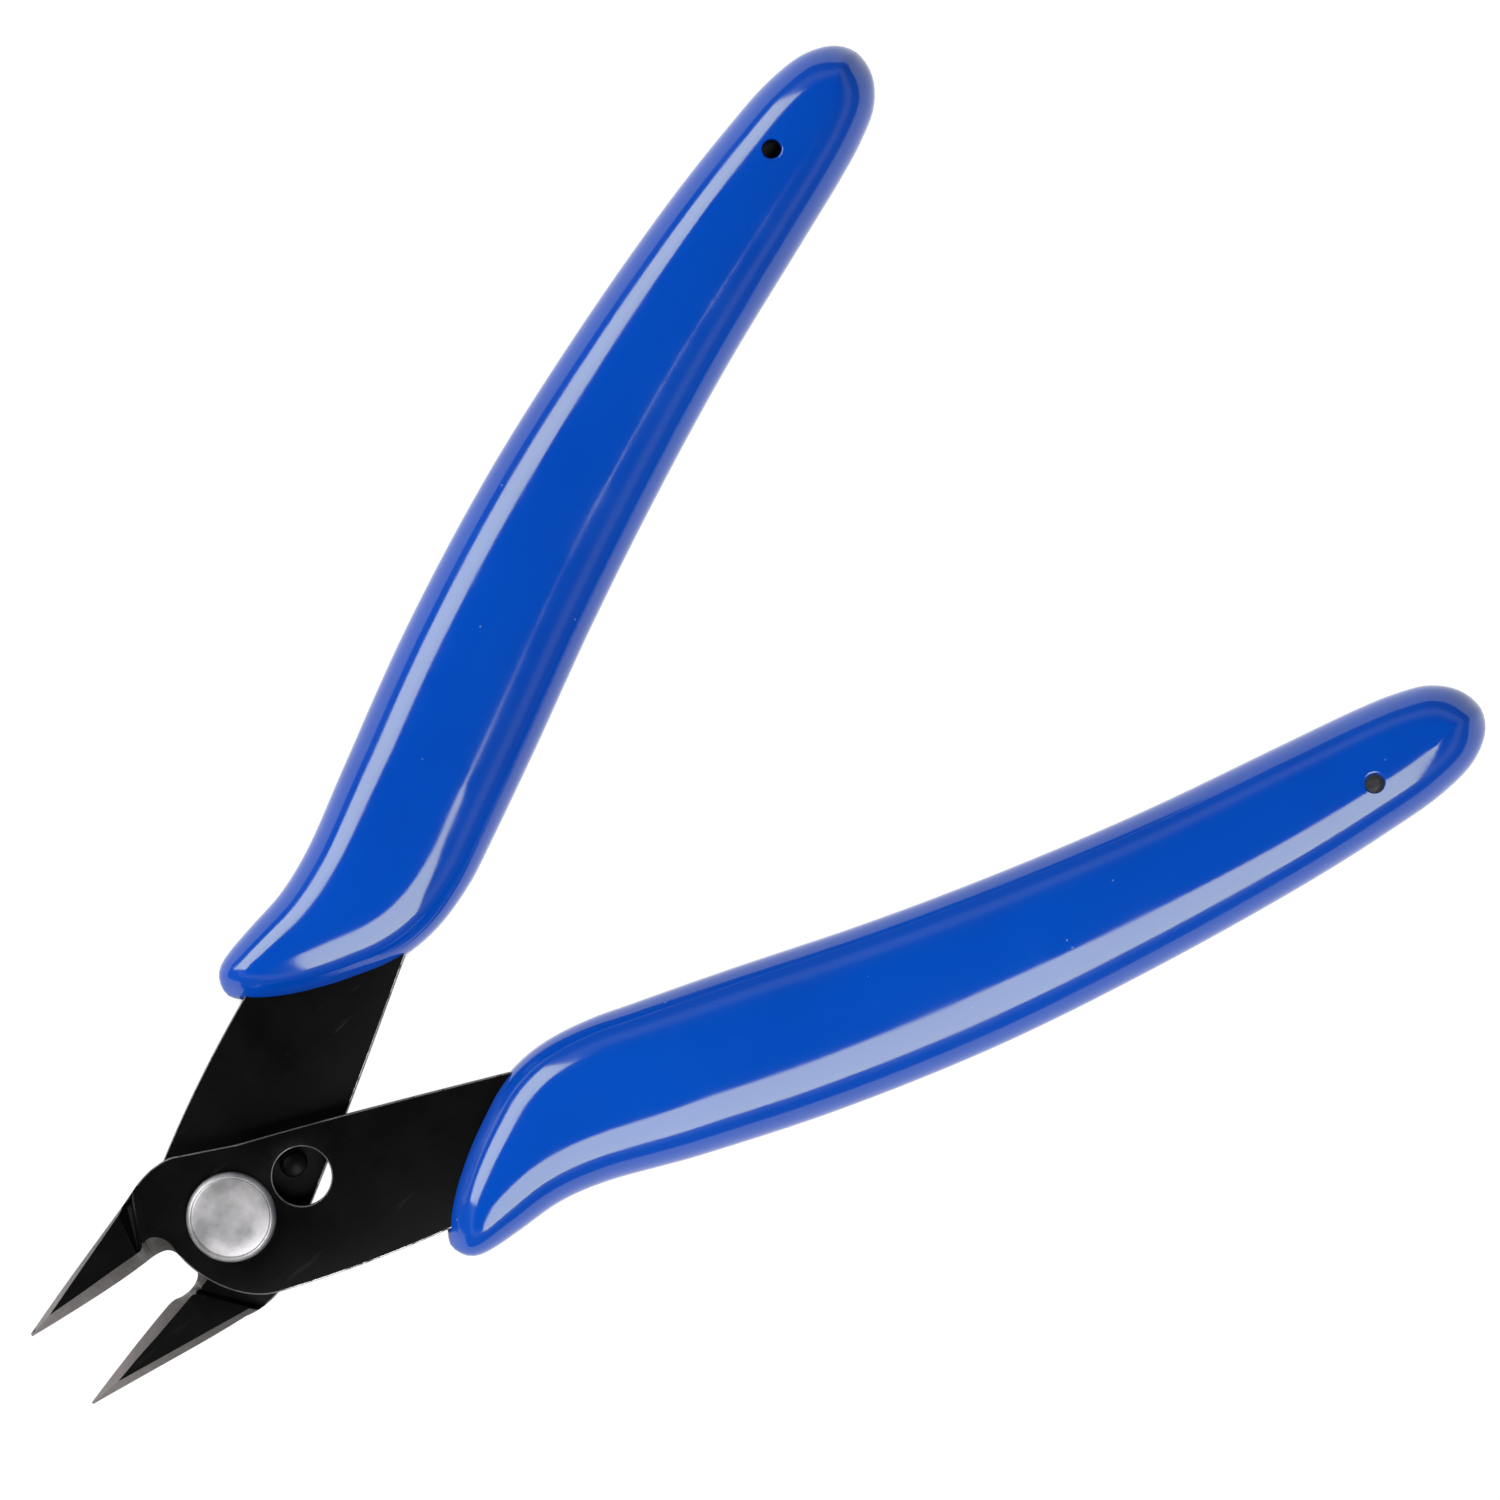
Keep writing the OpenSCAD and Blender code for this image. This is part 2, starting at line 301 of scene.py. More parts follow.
def blue_plastic():
    """Glossy plastic with faint smears and sparse specks of dust."""
    material, tree, shader = nodes_of("blue_plastic_looks", IOR=1.6, Roughness=0.1,
                                      Specular_Tint=(0.95, 1, 0.58, 1))
    at = object_place(tree)
    tint = mix(tree, ramp(tree, noise(tree, at, 45, 2), (0.35, 0.0), (0.7, 1.0)),
               (0.0004, 0.055, 0.405), (0.0006, 0.065, 0.45))
    dust = dots(tree, at, 640, 0.06)
    dusty = mix(tree, maths(tree, "MULTIPLY", dust, 0.35), tint, (0.2, 0.3, 0.45))
    tree.links.new(dusty, shader.inputs["Base Color"])
    smear = ramp(tree, noise(tree, at, 160, 4, 0.6), (0.35, 0.085), (0.75, 0.16))
    tree.links.new(maths(tree, "ADD", smear, maths(tree, "MULTIPLY", dust, 0.3)), shader.inputs["Roughness"])
    grain = maths(tree, "ADD", noise(tree, at, 260, 2), maths(tree, "MULTIPLY", dust, 0.6))
    bump(tree, shader, grain, 0.12, 0.00006)
    return material


def black_oxide():
    """Satin black oxide with scuffs, and specks where it has chipped."""
    material, tree, shader = nodes_of("black_oxide_looks", IOR=1.35, Specular_IOR_Level=0.15)
    at = object_place(tree)
    cloud = noise(tree, at, 120, 5, 0.65)
    shade = ramp(tree, cloud, (0.35, 0.0), (0.75, 1.0))
    base = mix(tree, shade, (0.0006, 0.0005, 0.0006), (0.0022, 0.002, 0.0022))
    lines = noise(tree, at, 90, 4, 0.7, (1, 9, 1), 0.35)
    scuffs = ramp(tree, lines, (0.66, 0.0), (0.74, 1.0))
    specks = ramp(tree, noise(tree, at, 1500, 3, 0.7), (0.72, 0.0), (0.78, 1.0))
    faint_scuffs = maths(tree, "MULTIPLY", scuffs, 0.2)
    worn = maths(tree, "MAXIMUM", faint_scuffs, maths(tree, "MULTIPLY", specks, 0.35))
    tree.links.new(mix(tree, worn, base, (0.05, 0.047, 0.046)), shader.inputs["Base Color"])
    tree.links.new(ramp(tree, cloud, (0.3, 0.36), (0.75, 0.52)), shader.inputs["Roughness"])
    grain = maths(tree, "ADD", noise(tree, at, 2400, 3, 0.6), maths(tree, "MULTIPLY", lines, 0.8))
    bump(tree, shader, grain, 0.25, 0.00003)
    return material


def worn_edge():
    """A plate's edge, rubbed bright in a broken line."""
    material, tree, shader = nodes_of("worn_edge_looks", IOR=1.6)
    at = object_place(tree)
    patches = ramp(tree, noise(tree, at, 130, 2), (0.42, 0.15), (0.6, 1.0))
    rubbed = ramp(tree, noise(tree, at, 1100, 4, 0.7), (0.34, 0.0), (0.48, 1.0))
    wear = maths(tree, "MULTIPLY", rubbed, patches)
    colour = mix(tree, wear, (0.008, 0.0075, 0.0075), (0.34, 0.325, 0.32))
    tree.links.new(colour, shader.inputs["Base Color"])
    tree.links.new(wear, shader.inputs["Metallic"])
    tree.links.new(ramp(tree, wear, (0.0, 0.42), (1.0, 0.3)), shader.inputs["Roughness"])
    bump(tree, shader, noise(tree, at, 3000, 3), 0.3, 0.00003)
    return material


def ground_steel():
    """Coarsely ground steel, with painted shade making it darker from the jaws' tips towards the throat."""
    material, tree, shader = nodes_of("ground_steel_looks", Metallic=1.0, Roughness=0.45)
    at = object_place(tree)
    marks = noise(tree, at, 500, 3, 0.6, (7, 1, 1), 0.5)
    cloud = noise(tree, at, 420, 5, 0.7)
    along = add(tree, "ShaderNodeSeparateXYZ", {0: at}).outputs[0]
    # Painted shade: the steel's colour darkens along X from the jaws' tips towards the throat
    shade_start, shade_len = -0.02, 0.014
    into_shade = maths(tree, "MULTIPLY_ADD", along, 1 / shade_len, -shade_start / shade_len)
    throat_shade = ramp(tree, into_shade, (0.1, 0.0), (0.85, 1.0))
    bright = mix(tree, cloud, (0.17, 0.152, 0.15), (0.30, 0.275, 0.27))
    throat_shaded_steel = mix(tree, cloud, (0.055, 0.05, 0.05), (0.16, 0.148, 0.145))
    tree.links.new(mix(tree, throat_shade, bright, throat_shaded_steel), shader.inputs["Base Color"])
    tree.links.new(ramp(tree, marks, (0.3, 0.38), (0.7, 0.56)), shader.inputs["Roughness"])
    grain = maths(tree, "MULTIPLY", noise(tree, at, 2500, 2), 0.5)
    bump(tree, shader, maths(tree, "ADD", marks, grain), 0.35, 0.00004)
    return material


def turned_steel(name, dark, light, ring_scale):
    """Steel with faint turned rings about Z, clouds and small dents."""
    material, tree, shader = nodes_of(name, Metallic=1.0, Roughness=0.4)
    at = object_place(tree)
    split = add(tree, "ShaderNodeSeparateXYZ", {0: at})
    flat = add(tree, "ShaderNodeCombineXYZ", {0: split.outputs[0], 1: split.outputs[1]}).outputs[0]
    radius = add(tree, "ShaderNodeVectorMath", {0: flat}, operation="LENGTH").outputs["Value"]
    line = add(tree, "ShaderNodeCombineXYZ", {0: maths(tree, "MULTIPLY", radius, ring_scale)}).outputs[0]
    rings = add(tree, "ShaderNodeTexNoise", {"Vector": line, "Scale": 1.0, "Detail": 2.0}).outputs["Fac"]
    cloud = noise(tree, at, 380, 6, 0.62)
    shade = ramp(tree, cloud, (0.3, 0.0), (0.7, 1.0))
    tree.links.new(mix(tree, shade, dark, light), shader.inputs["Base Color"])
    tree.links.new(ramp(tree, cloud, (0.3, 0.46), (0.7, 0.56)), shader.inputs["Roughness"])
    pits = dots(tree, at, 2200, 0.3)
    grain = maths(tree, "MULTIPLY", noise(tree, at, 1500, 4), 0.8)
    height = maths(tree, "ADD", maths(tree, "MULTIPLY", rings, 0.35), grain)
    bump(tree, shader, maths(tree, "SUBTRACT", height, maths(tree, "MULTIPLY", pits, 0.5)), 0.35, 0.00003)
    return material


def wire_steel():
    """Bright spring wire with faint drawing marks."""
    material, tree, shader = nodes_of("spring_wire_looks", Metallic=1.0, Roughness=0.3)
    at = object_place(tree)
    drawn = noise(tree, at, 700, 3, 0.6, (1, 1, 6))
    tree.links.new(mix(tree, drawn, (0.42, 0.42, 0.43), (0.62, 0.62, 0.63)), shader.inputs["Base Color"])
    tree.links.new(ramp(tree, drawn, (0.3, 0.22), (0.7, 0.38)), shader.inputs["Roughness"])
    bump(tree, shader, drawn, 0.3, 0.00003)
    return material


BLUE = blue_plastic()
BLACK = black_oxide()
WORN = worn_edge()
GROUND = ground_steel()
RIVET = turned_steel("rivet_steel_looks", (0.34, 0.335, 0.345), (0.62, 0.605, 0.615), 9000)
WIRE = wire_steel()

# ---------------------------------------------------------------- levers

# The jaws, the front lever's under True. Each rung of the ground bevel runs from its lower edge (x, y) to
# the edge of the black top (x, y). Top and bottom are heights over the joint by bend_distance.
JAWS = {
    True: {
        "rungs": [(-JAW_LEN, 0.01, -JAW_LEN + 0.02, 0.12), (-17.5, 0.01, -17.35, 0.8),
                  (-14, 0.07, -14, 1.02), (-12, 0.14, -12, 1.18), (-10, 0.25, -10, 1.33),
                  (-8.8, 0.36, -8.6, 1.42), (-8.2, 0.42, -7.95, 1.5), (-7.6, 0.5, -7.5, 1.84),
                  (-7.1, 0.53, -7.0, 2.02), (-6.7, 0.52, -6.55, 1.96), (-6.2, 0.44, -6.05, 1.64),
                  (-5.75, 0.2, -5.62, 1.05), (-5.46, -0.2, -5.42, 0.25), (*HUB_FRONT[0], *HUB_FRONT[0])],
        "outer": [(-6, 6.05), (-10, 4.35), (-14.5, 2.6), (-JAW_LEN, 0.25)],
        "top": [(-22, 0.0), (-8.2, 0.9), (-8.1, 1.0), (-7.86, 2.36), (-7.8, 2.44), (-7.7, 2.49),
                (-7.6, PLATE), (120, PLATE)],
        "bottom": [(-22, FLUSH), (-8.1, FLUSH), (-7.4, 0), (120, 0)],
        "strip_end": (-9.3, 4.42),
    },
    False: {
        "rungs": [(-JAW_LEN, 0.01, -JAW_LEN + 0.02, 0.12), (-17, 0.01, -16.8, 0.72),
                  (-14, 0.05, -14, 0.86), (-12, 0.1, -12, 1.02), (-10, 0.18, -10, 1.14),
                  (-9, 0.25, -8.7, 1.22), (-8.5, 0.4, -8.0, 1.26), (-8.0, 0.68, -7.4, 1.29),
                  (-7.25, 0.9, -6.9, 1.39), (-6.5, 0.92, -6.35, 1.48), (-5.95, 0.8, -5.8, 1.53),
                  (-5.55, 0.55, -5.35, 1.45), (-5.3, 0.15, -5.12, 0.8), (-5.3, -0.2, -5.2, 0.2),
                  (*HUB_FRONT[0], *HUB_FRONT[0])],
        "outer": [(-6, 5.95), (-9.9, 4.5), (-14.5, 2.35), (-JAW_LEN, 0.2)],
        "top": [(-22, -0.1), (-7.1, 0.58), (-7.0, 0.57), (-6.9, 0.47), (-6.72, 0.08), (-6.64, 0.02),
                (-6.55, 0), (120, 0)],
        "bottom": [(-22, FLUSH), (-9.5, FLUSH), (-6.6, -PLATE), (120, -PLATE)],
        "strip_end": (-6.6, 5.2),
    },
}
# The bevel's lower edge starts to climb at the throat, and its upper edge is TIP_HIGH over it at the tip
THROAT_X = -8.8
CLIMB_POWER = 1.4
TIP_HIGH = 0.15
TIP_RUNGS = 5
RUNG_STEP = 0.22
SOFTENED_RUNGS = 3
CREASE_OVERRUN = 1.15
STRIP_TOLERANCE = 0.004


def bend_distance(x, y):
    """How far a point is from the pivot, square to the lines where the jaw bends, negative at the tip."""
    return x * BEND[0] + y * BEND[1]


def tang_outline():
    """The lever's edge from the front of its hub, round the tang in the grip and back along the neck."""
    low, high = np.array(TANG_LOWER[3], float), np.array(TANG_UPPER[0], float)
    end = np.array(arc(*((low + high) / 2), (high - low)[1] / 2, -90, 90, 20))[1:-1]
    return np.vstack([cubic(HUB_FRONT, 28), cubic(WAIST, 16), cubic(TANG_LOWER, 40), [low], end,
                      cubic(TANG_UPPER, 40), cubic(NECK, 24), NECK[3:]])


def lever(name, front):
    """One lever: its plate, jaw and ground faces, with its holes cut through."""
    jaw = JAWS[front]
    top_u, top_z = np.array(jaw["top"]).T
    bottom_u, bottom_z = np.array(jaw["bottom"]).T

    def slope_top(x, y):
        return np.interp(bend_distance(x, y), top_u, top_z)

    def bottom(x, y):
        return float(np.interp(bend_distance(x, y), bottom_u, bottom_z))

    # The ground bevel as a ladder, straight from the tip to the apex and then in one curve round the throat
    rungs = np.array(jaw["rungs"], float)
    tip = rungs[0] + (rungs[1] - rungs[0]) * np.linspace(0, 1, TIP_RUNGS + 1)[:-1, None]
    ladder = np.vstack([tip, smooth_path(rungs[1:], RUNG_STEP)])
    edge, black = ladder[:, :2], ladder[:, 2:]
    run = np.concatenate([[0], np.cumsum(np.linalg.norm(np.diff(edge, axis=0), axis=1))])
    highest = np.argmax(edge[:, 1])
    run_start = np.interp(THROAT_X, edge[:highest, 0], run[:highest])
    climb = np.clip((run - run_start) / (run[-1] - run_start), 0, 1)
    sharp_z = FLUSH + LAND
    edge_z = sharp_z + (slope_top(*edge[-1]) - sharp_z) * np.sin(climb * math.pi / 2) ** CLIMB_POWER
    black_z = slope_top(black[:, 0], black[:, 1])
    apex_at = len(tip)
    black_z[:apex_at] = np.interp(np.arange(apex_at), [0, apex_at], [sharp_z + TIP_HIGH, black_z[apex_at]])
    window = 2 * SOFTENED_RUNGS + 1
    soft = np.convolve(np.pad(black_z, SOFTENED_RUNGS, mode="edge"), np.ones(window) / window, mode="valid")
    black_z[apex_at + SOFTENED_RUNGS:-1] = soft[apex_at + SOFTENED_RUNGS:-1]
    known = {}
    for (x, y), z in list(zip(edge, edge_z)) + list(zip(black, black_z)):
        known[(round(x, 4), round(y, 4))] = float(z)
    bevel = np.vstack([black, edge[::-1]])

    def ladder_top(x, y):
        """Height on the rung that is nearest to a point."""
        along = black - edge
        square = np.maximum(np.sum(along * along, axis=1), 1e-12)
        t = np.clip(((x - edge[:, 0]) * along[:, 0] + (y - edge[:, 1]) * along[:, 1]) / square, 0, 1)
        away = np.hypot(x - edge[:, 0] - t * along[:, 0], y - edge[:, 1] - t * along[:, 1])
        k = int(np.argmin(away))
        return float(edge_z[k] * (1 - t[k]) + black_z[k] * t[k])

    # The ground strip along the outer edge is one plane through the tip's ridge and the strip's inner line
    p0 = np.array([*black[apex_at], black_z[apex_at]])
    p1 = np.array([*black[0], black_z[0]])
    far = jaw["strip_end"]
    p2 = np.array([*far, slope_top(*far)])
    normal = np.cross(p1 - p0, p2 - p0)
    normal /= normal[2]

    def strip_top(x, y):
        return p0[2] - ((x - p0[0]) * normal[0] + (y - p0[1]) * normal[1])

    def top(x, y):
        z = known.get((round(x, 4), round(y, 4)))
        if z is not None:
            return z
        if inside(np.array([[x, y]]), bevel)[0]:
            return ladder_top(x, y)
        z = float(slope_top(x, y))
        if bend_distance(x, y) < top_u[1]:
            z = min(z, float(strip_top(x, y)))
        return z

    shoulder = [*SHOULDER[:3], jaw["outer"][0]]
    outline = np.vstack([edge[:-1], tang_outline(), cubic(shoulder, 22), cubic(jaw["outer"], 24),
                         [jaw["outer"][3]]])

    # Lines where the faces bend or meet. A bend's line is kept only where it is inside the outline.
    step = np.array(far) - p0[:2]
    creases = [black.tolist(), [p0[:2], p0[:2] + step * CREASE_OVERRUN]]
    creases += [[a, b] for a, b in zip(edge[1:-1], black[1:-1])]
    for u in sorted(set(top_u[1:-1]) | set(bottom_u[1:-1])):
        ys = np.linspace(-1, 9, 1500)
        xs = (u - ys * BEND[1]) / BEND[0]
        line = np.column_stack([xs, ys])
        free = inside(line, outline)
        if u in top_u:
            free &= ~inside(line, bevel)
        at = np.nonzero(free)[0]
        creases.append([line[at[0]], line[at[-1]]])

    stop = (STOP_ORBIT * math.cos(STOP_HOLE_ANGLE), STOP_ORBIT * math.sin(STOP_HOLE_ANGLE))
    holes = [circle(0, 0, SHANK_R if front else SHANK_R + BORE_CLEARANCE, 72)]
    if front:
        holes.append(circle(*stop, STOP_HOLE_R, 96))
    verts, faces = slab(outline, holes, creases, top, bottom)

    def is_ground(face):
        """Whether a face is on the ground bevel or on the strip along the outer edge."""
        p = verts[list(face)]
        x, y, z = p.mean(axis=0)
        if abs(np.cross(p[1] - p[0], p[2] - p[0])[2]) < 1e-7 or z < bottom(x, y) + 0.5 * LAND + 1e-4:
            return False
        if inside(np.array([[x, y]]), bevel)[0]:
            return z > bottom(x, y) + LAND
        return bool(bend_distance(x, y) < top_u[1] + 0.05 and abs(z - strip_top(x, y)) < STRIP_TOLERANCE)

    return build_lever(name, verts, faces, [is_ground(f) for f in faces], front)


def slab(outer, holes, creases, top, bottom):
    """A solid over an outline less its holes, from bottom(x, y) to top(x, y), cut along the creases."""
    points, edges = [], []
    for loop in [outer] + holes:
        first = len(points)
        points += [Vector((float(p[0]), float(p[1]))) for p in loop]
        edges += [(first + i, first + (i + 1) % len(loop)) for i in range(len(loop))]
    for line in creases:
        first = len(points)
        points += [Vector((float(p[0]), float(p[1]))) for p in line]
        edges += [(first + i, first + i + 1) for i in range(len(line) - 1)]
    cut = geometry.delaunay_2d_cdt(points, edges, [], 0, 1e-5)
    plan = np.array([tuple(v) for v in cut[0]])
    triangles = np.array([tuple(f) for f in cut[2]])
    middle = plan[triangles].mean(axis=1)
    keep = inside(middle, outer)
    for hole in holes:
        keep &= ~inside(middle, hole)
    triangles = triangles[keep]
    used = np.unique(triangles)
    index = {int(v): i for i, v in enumerate(used)}
    n = len(used)
    upper = [(plan[v][0], plan[v][1], top(*plan[v])) for v in used]
    lower = [(plan[v][0], plan[v][1], min(bottom(*plan[v]), upper[i][2] - 0.5 * LAND))
             for i, v in enumerate(used)]
    verts = upper + lower
    faces, count = [], {}
    for t in triangles:
        a, b, c = (index[int(v)] for v in t)
        p, q, r = plan[t[0]], plan[t[1]], plan[t[2]]
        if (q[0] - p[0]) * (r[1] - p[1]) - (q[1] - p[1]) * (r[0] - p[0]) < 0:
            b, c = c, b
        faces.append((a, b, c))
        faces.append((a + n, c + n, b + n))
        for e in ((a, b), (b, c), (c, a)):
            key = tuple(sorted(e))
            count[key] = None if key in count else e
    for e in count.values():
        if e is not None:
            a, b = e
            faces.append((b, a, a + n, b + n))
    return np.array(verts), faces


WORN_WIDTH = 0.11
WORN_FROM_X = -7.6
PLANE_ANGLE = math.radians(0.3)
PLATE_SHARP_ANGLE = math.radians(28)


def build_lever(name, verts, faces, ground, front):
    """The lever's piece, with its ground faces marked and a narrow worn bevel round the plate's edges."""
    verts = np.array(verts)
    verts[:, 2] += JOINT_Z
    mesh = bpy.data.meshes.new(name)
    mesh.from_pydata([tuple(map(float, v)) for v in verts], [], [tuple(f) for f in faces])
    bm = bmesh.new()
    bm.from_mesh(mesh)
    for f, is_ground in zip(bm.faces, ground):
        f.material_index = 1 if is_ground else 0
    bmesh.ops.remove_doubles(bm, verts=bm.verts, dist=1e-4)
    bmesh.ops.dissolve_degenerate(bm, edges=bm.edges, dist=1e-4)
    bmesh.ops.recalc_face_normals(bm, faces=bm.faces)
    bmesh.ops.dissolve_limit(bm, angle_limit=PLANE_ANGLE, verts=bm.verts, edges=bm.edges,
                             delimit={"MATERIAL"})
    sharp = []
    for e in bm.edges:
        if len(e.link_faces) != 2 or min(v.co.x for v in e.verts) < WORN_FROM_X:
            continue
        a, b = e.link_faces
        if a.material_index or b.material_index:
            continue
        steep, flat = sorted((abs(a.normal.z), abs(b.normal.z)))
        if steep < 0.05 and flat > 0.9:
            sharp.append(e)
    bmesh.ops.bevel(bm, geom=sharp, offset=WORN_WIDTH, offset_type="OFFSET", segments=3, profile=0.5,
                    affect="EDGES", clamp_overlap=False, material=2)
    bmesh.ops.triangulate(bm, faces=[f for f in bm.faces if len(f.verts) > 4])
    place_bm(bm, front)
    bmesh.ops.recalc_face_normals(bm, faces=bm.faces)
    for f in bm.faces:
        f.smooth = True
    for e in bm.edges:
        if len(e.link_faces) == 2:
            e.smooth = e.calc_face_angle(0) < PLATE_SHARP_ANGLE
    bm.to_mesh(mesh)
    bm.free()
    for m in (BLACK, GROUND, WORN):
        mesh.materials.append(m)
    piece = bpy.data.objects.new(name, mesh)
    bpy.context.scene.collection.objects.link(piece)
    return piece


def place_bm(bm, front):
    """Moves a lever that is drawn closed, in mm, to the row frame at rest."""
    placed = place([tuple(v.co) for v in bm.verts], front)
    for v, p in zip(bm.verts, placed):
        v.co = p


front_plate = lever("front_lever_plate", True)
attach(front_plate, "front_half")
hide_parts("front_lever")

rear_plate = lever("rear_lever_plate", False)
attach(rear_plate, "rear_half")
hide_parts("rear_lever")

# ---------------------------------------------------------------- grips

NOSE = (14.4, -11.4)
GRIP_END = (109.95, -17.3)
GRIP_INNER = [NOSE, (14.75, -10.4), (15.4, -9.45), (16.9, -7.8), (18.7, -6.2), (20.6, -4.75), (22.5, -3.5),
              (24.5, -2.3), (27, -1.35), (30, -0.9), (34, -1.1), (38, -1.85), (46, -3.5), (58, -6.15),
              (70, -8.35), (82, -10.1), (94, -11.3), (101, -12), (104.2, -12.5), (107.2, -13.4),
              (109.2, -15.1), GRIP_END]
GRIP_OUTER = [NOSE, (14.7, -12.4), (15.3, -13.1), (16.1, -13.45), (17.4, -13.55), (20, -13.4), (24, -13.1),
              (28, -13.55), (36, -15.6), (48, -18.35), (62, -20.6), (76, -21.8), (90, -22.3), (98, -22.15),
              (103.5, -21.75), (107.2, -20.75), (109.3, -19.1), GRIP_END]
# Each sleeve's moves along X (reach) and Y (lean), which grow over a span of X. True is the front sleeve.
GRIP_REACH = {True: 1.2, False: -0.9}
REACH_SPAN = (60, 105)
GRIP_LEAN = {True: -0.22, False: 0.22}
LEAN_SPAN = (24, 38)
HANG_POS = (99, -18)
HANG_R = 0.8
HANG_ROLL = 0.22
HANG_ROLL_DEPTH = 0.3
SIDE_STEP = 0.2
SIDE_POINTS = 170
SPINE_START = 4
SPINE_STOP = 9
RINGS = 26
BLEND_LEN = 1.4
END_ROUND_X = 96
CROWN_POWER = 2.15
# By X: the grip's share of its full thickness, and how far in from its edge it goes on rising
THICKNESS = ([14, 24, 40, 80, 110], [0.78, 0.88, 1.0, 0.99, 0.97])
CROWN_WIDTH = ([14, 24, 40, 64, 90, 110], [4.0, 4.6, 5.8, 6.2, 5.0, 4.4])
# The shallow groove beside the inner edge, which fades out away from the mouth
GROOVE_STRENGTH = ([14, 26, 34], [1, 1, 0])
GROOVE_DEPTH = 0.05
GROOVE_INSET = 0.95
GROOVE_WIDTH = 0.16
GROOVE_SIDE = 2.5


def seated(points, front):
    """A sleeve's points as it sits on its own tang: the front one is pushed on a little less far."""
    p = np.array(points, float)
    for shift, axis, (start, end) in ((GRIP_REACH[front], 0, REACH_SPAN), (GRIP_LEAN[front], 1, LEAN_SPAN)):
        t = np.clip((p[:, 0] - start) / (end - start), 0, 1)
        p[:, axis] += shift * t * t * (3 - 2 * t)
    return p


